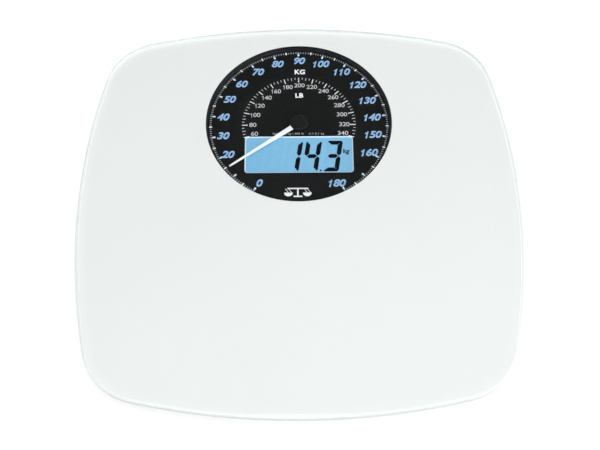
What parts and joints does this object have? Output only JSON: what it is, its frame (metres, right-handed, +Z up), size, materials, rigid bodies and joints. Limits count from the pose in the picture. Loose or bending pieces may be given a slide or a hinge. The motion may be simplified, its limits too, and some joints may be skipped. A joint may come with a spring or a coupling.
{
  "type": "bathroom scale",
  "caption": "Glass bathroom scale with a round dial window that holds a motor-driven pointer over printed kilogram and pound scales and a blue-lit LCD, on load-cell feet.",
  "frame": {"origin": "on the floor under the middle of the glass platform, at the bottom centre of the bounding box", "axes": "+Z up from the pads to the glass, +X to the right of the person reading the dial, +Y away from the person, towards the dial"},
  "size_m": [0.31, 0.31, 0.038],
  "materials": {
    "clear_glass": "polished tempered glass with a ground edge",
    "white_print": "opaque white print bonded to the underside of the glass",
    "tape": "foam mounting tape",
    "black_abs": "fine satin moulded",
    "dial_print": "screen-printed satin black",
    "lcd_glass": "blue-lit liquid crystal cell",
    "light_guide": "clear blue-lit acrylic",
    "strip_rubber": "soft, satin",
    "board_green": "solder mask over glass laminate",
    "chip_black": "moulded epoxy",
    "connector_white": "natural nylon",
    "screw_steel": "zinc plated",
    "motor_plastic": "moulded, satin",
    "copper_wire": "enamelled copper winding",
    "stator_steel": "stamped silicon steel",
    "magnet": "bonded magnet",
    "gear_plastic": "natural acetal",
    "pointer_white": "white lacquered",
    "white_abs": "fine spark-eroded texture",
    "battery_wrap": "printed shrink sleeve",
    "nickel": "nickel-plated spring steel",
    "button_grey": "satin elastomer",
    "gauge_coat": "soft white potting",
    "cell_steel": "nickel-plated, stamped",
    "clamp_plastic": "moulded, satin",
    "lead_jacket": "soft PVC jacket",
    "foot_plastic": "moulded, satin",
    "pad_rubber": "ribbed anti-slip rubber"
  },
  "bodies": {
    "platform": {"glass_platform": "clear_glass", "back_film": "white_print", "tape_ring": "tape", "display_frame": "black_abs", "dial_face": "dial_print", "dial_chassis": "black_abs", "lcd_panel": "lcd_glass", "lcd_backlight": "light_guide", "lcd_connector_strips": "strip_rubber", "main_board": "board_green", "board_chips": "chip_black", "sensor_connectors": "connector_white", "tact_switch": "chip_black", "board_screws": "screw_steel", "motor_base": "motor_plastic", "motor_lid": "motor_plastic", "motor_coils": "copper_wire", "motor_stator": "stator_steel", "rear_housing": "white_abs", "housing_screws": "screw_steel", "battery_1": "battery_wrap", "battery_2": "battery_wrap", "battery_3": "battery_wrap", "battery_springs": "nickel", "battery_contacts": "nickel", "strain_gauges": "gauge_coat", "lead_channel_left": "white_abs", "lead_channel_right": "white_abs", "foot_carrier_front_left": "white_abs", "load_cell_front_left": "cell_steel", "load_cell_clamp_front_left": "clamp_plastic", "sensor_lead_front_left": "lead_jacket", "foot_carrier_front_right": "white_abs", "load_cell_front_right": "cell_steel", "load_cell_clamp_front_right": "clamp_plastic", "sensor_lead_front_right": "lead_jacket", "foot_carrier_rear_left": "white_abs", "load_cell_rear_left": "cell_steel", "load_cell_clamp_rear_left": "clamp_plastic", "sensor_lead_rear_left": "lead_jacket", "foot_carrier_rear_right": "white_abs", "load_cell_rear_right": "cell_steel", "load_cell_clamp_rear_right": "clamp_plastic", "sensor_lead_rear_right": "lead_jacket"},
    "pointer": {"pointer": "pointer_white", "hub_cap": "black_abs", "pointer_wheel": "gear_plastic"},
    "intermediate_wheel": {"intermediate_wheel": "gear_plastic"},
    "rotor": {"rotor": "magnet"},
    "unit_button": {"unit_button": "button_grey"},
    "battery_cover": {"battery_cover": "white_abs"},
    "foot_front_left": {"foot_cup_front_left": "foot_plastic", "foot_pad_front_left": "pad_rubber"},
    "foot_front_right": {"foot_cup_front_right": "foot_plastic", "foot_pad_front_right": "pad_rubber"},
    "foot_rear_left": {"foot_cup_rear_left": "foot_plastic", "foot_pad_rear_left": "pad_rubber"},
    "foot_rear_right": {"foot_cup_rear_right": "foot_plastic", "foot_pad_rear_right": "pad_rubber"}
  },
  "joints": [
    {"name": "pointer_turn", "type": "hinge", "parent": "platform", "child": "pointer", "pos_m": [0, 0.073, 0.027], "axis": [0, 0, -1], "range_deg": [-23.83, 276.17]},
    {"name": "intermediate_turn", "type": "hinge", "parent": "platform", "child": "intermediate_wheel", "pos_m": [0, 0.0838, 0.011], "axis": [0, 0, -1], "range_deg": [-1381, 119.3]},
    {"name": "rotor_turn", "type": "hinge", "parent": "platform", "child": "rotor", "pos_m": [0.009, 0.0838, 0.011], "axis": [0, 0, -1], "range_deg": [-477, 5524]},
    {"name": "unit_button_press", "type": "slide", "parent": "platform", "child": "unit_button", "axis": [0, 0, 1], "range_m": [0, 0.0008], "stiffness_N_per_m": 150, "springref_m": -0.002},
    {"name": "battery_cover_slide", "type": "slide", "parent": "platform", "child": "battery_cover", "axis": [0, -1, 0], "range_m": [0, 0.056]},
    {"name": "foot_front_left_press", "type": "slide", "parent": "platform", "child": "foot_front_left", "axis": [0, 0, 1], "range_m": [0, 0.0005], "stiffness_N_per_m": 3000, "springref_m": -0.002, "deforming": ["load_cell_front_left"]},
    {"name": "foot_front_right_press", "type": "slide", "parent": "platform", "child": "foot_front_right", "axis": [0, 0, 1], "range_m": [0, 0.0005], "stiffness_N_per_m": 3000, "springref_m": -0.002, "deforming": ["load_cell_front_right"]},
    {"name": "foot_rear_left_press", "type": "slide", "parent": "platform", "child": "foot_rear_left", "axis": [0, 0, 1], "range_m": [0, 0.0005], "stiffness_N_per_m": 3000, "springref_m": -0.002, "deforming": ["load_cell_rear_left"]},
    {"name": "foot_rear_right_press", "type": "slide", "parent": "platform", "child": "foot_rear_right", "axis": [0, 0, 1], "range_m": [0, 0.0005], "stiffness_N_per_m": 3000, "springref_m": -0.002, "deforming": ["load_cell_rear_right"]}
  ],
  "couplings": [
    {"joint": "intermediate_turn", "follows": "pointer_turn", "ratio": -5},
    {"joint": "rotor_turn", "follows": "pointer_turn", "ratio": 20}
  ]
}
